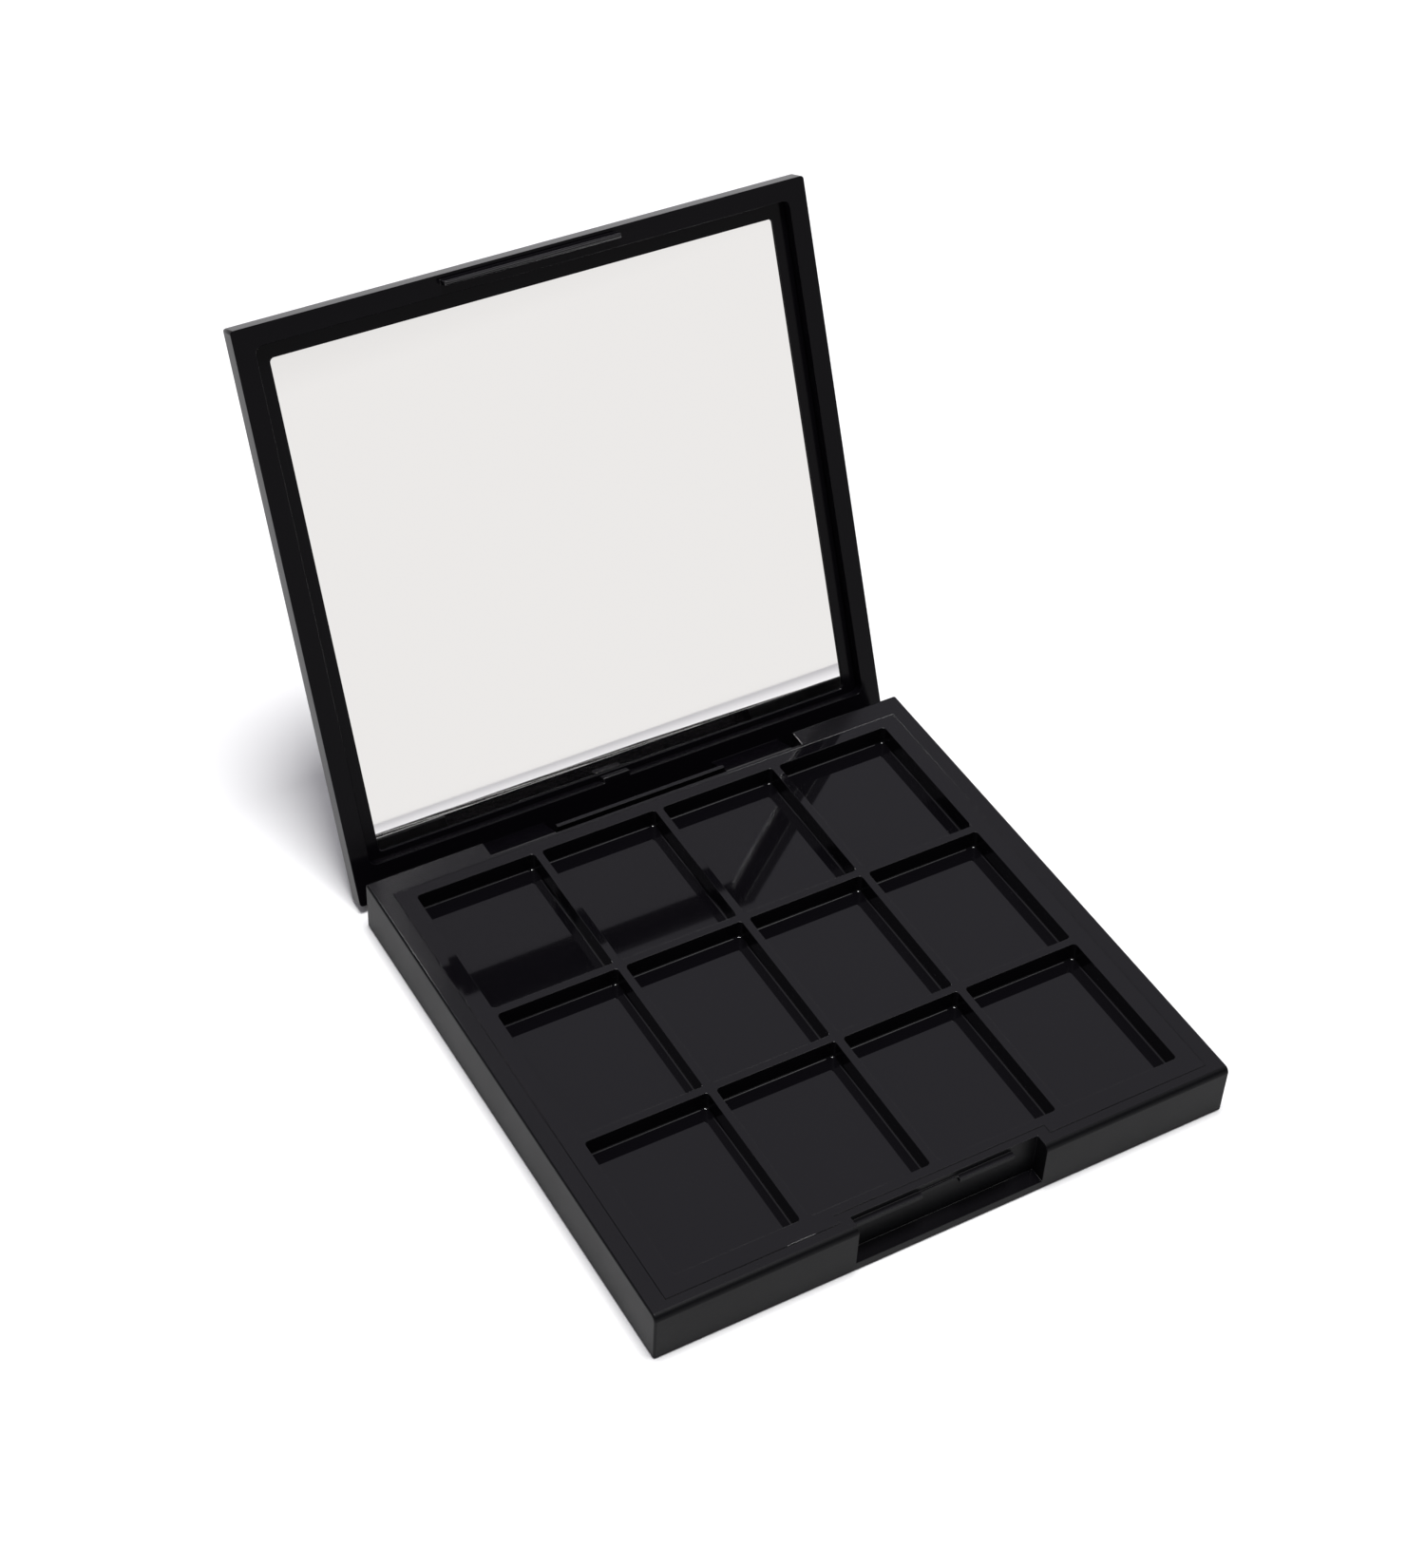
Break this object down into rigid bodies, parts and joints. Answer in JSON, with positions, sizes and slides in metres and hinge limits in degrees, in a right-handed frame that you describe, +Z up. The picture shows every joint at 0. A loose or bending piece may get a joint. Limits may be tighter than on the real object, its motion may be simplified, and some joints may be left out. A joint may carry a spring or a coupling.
{
  "type": "eyeshadow palette",
  "caption": "Flat hinged makeup compact with a grid of empty rectangular wells in a flush tray, a mirror in the lid and a thumb recess.",
  "frame": {"origin": "centre of the base's underside", "axes": "+X along the hinge, +Y towards the hinge, +Z up out of the wells"},
  "size_m": [0.11, 0.1544, 0.0994],
  "materials": {
    "case_plastic": "moulded black ABS, satin gloss, fine grain on the outside",
    "tray_plastic": "moulded black ABS, polished",
    "frame_plastic": "moulded black ABS, polished",
    "mirror_glass": "silvered mirror",
    "adhesive_tape": "matte double-sided tissue tape",
    "pin_steel": "drawn stainless steel"
  },
  "bodies": {
    "base": {"base_case": "case_plastic", "pan_tray": "tray_plastic", "hinge_pin_left": "pin_steel", "hinge_pin_right": "pin_steel"},
    "lid": {"lid_cover": "case_plastic", "mirror_frame": "frame_plastic", "mirror": "mirror_glass", "mirror_tape": "adhesive_tape"}
  },
  "joints": [
    {"name": "lid_hinge", "type": "hinge", "parent": "base", "child": "lid", "pos_m": [0, 0.0515, 0.0053], "axis": [1, 0, 0], "range_deg": [0, 113]}
  ]
}
